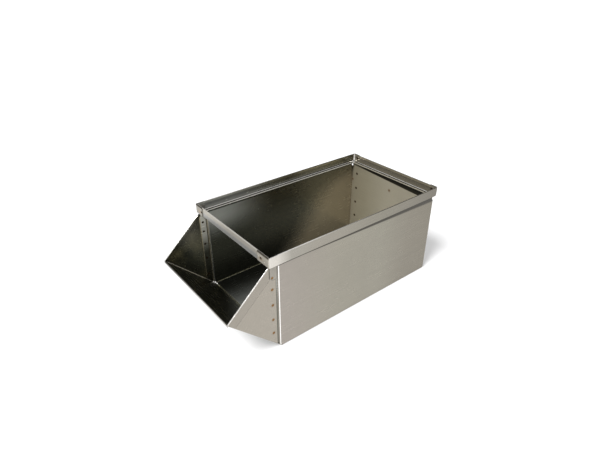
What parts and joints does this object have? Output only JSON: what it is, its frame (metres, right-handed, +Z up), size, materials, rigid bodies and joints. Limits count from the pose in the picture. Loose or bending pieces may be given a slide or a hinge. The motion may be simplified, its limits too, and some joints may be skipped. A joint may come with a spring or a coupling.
{
  "type": "hopper-front stacking bin",
  "caption": "Open-top sheet-steel bin with a sloping hopper front, triangular cheeks and a raised stacking rim, folded from flat sheets and spot-welded along its seams.",
  "frame": {"origin": "centre of the overall footprint on the ground plane, under the lowest faces", "axes": "+Z up; the open hopper faces -Y and the closed rear wall is at +Y; the width runs along X"},
  "size_m": [0.2468, 0.5088, 0.2006],
  "materials": {
    "wall_steel": "satin",
    "rear_steel": "satin",
    "floor_steel": "satin",
    "hopper_steel": "satin",
    "rim_steel": "satin",
    "crossbar_steel": "satin",
    "weld_nugget": "heat-tinted"
  },
  "bodies": {
    "root": {"side_wall_left": "wall_steel", "side_wall_right": "wall_steel", "rear_wall": "rear_steel", "floor_plate": "floor_steel", "hopper_front": "hopper_steel", "rim_rail_left": "rim_steel", "rim_rail_right": "rim_steel", "rim_rail_rear": "rim_steel", "front_crossbar": "crossbar_steel", "welds_front_left": "weld_nugget", "welds_front_right": "weld_nugget", "welds_rear_left": "weld_nugget", "welds_rear_right": "weld_nugget", "welds_floor_left": "weld_nugget", "welds_floor_right": "weld_nugget", "welds_floor_front": "weld_nugget", "welds_floor_rear": "weld_nugget", "welds_ledge_left": "weld_nugget", "welds_ledge_right": "weld_nugget", "welds_ledge_rear": "weld_nugget", "welds_rim_rear_left": "weld_nugget", "welds_rim_rear_right": "weld_nugget", "welds_rim_front_left": "weld_nugget", "welds_rim_front_right": "weld_nugget"}
  },
  "joints": []
}
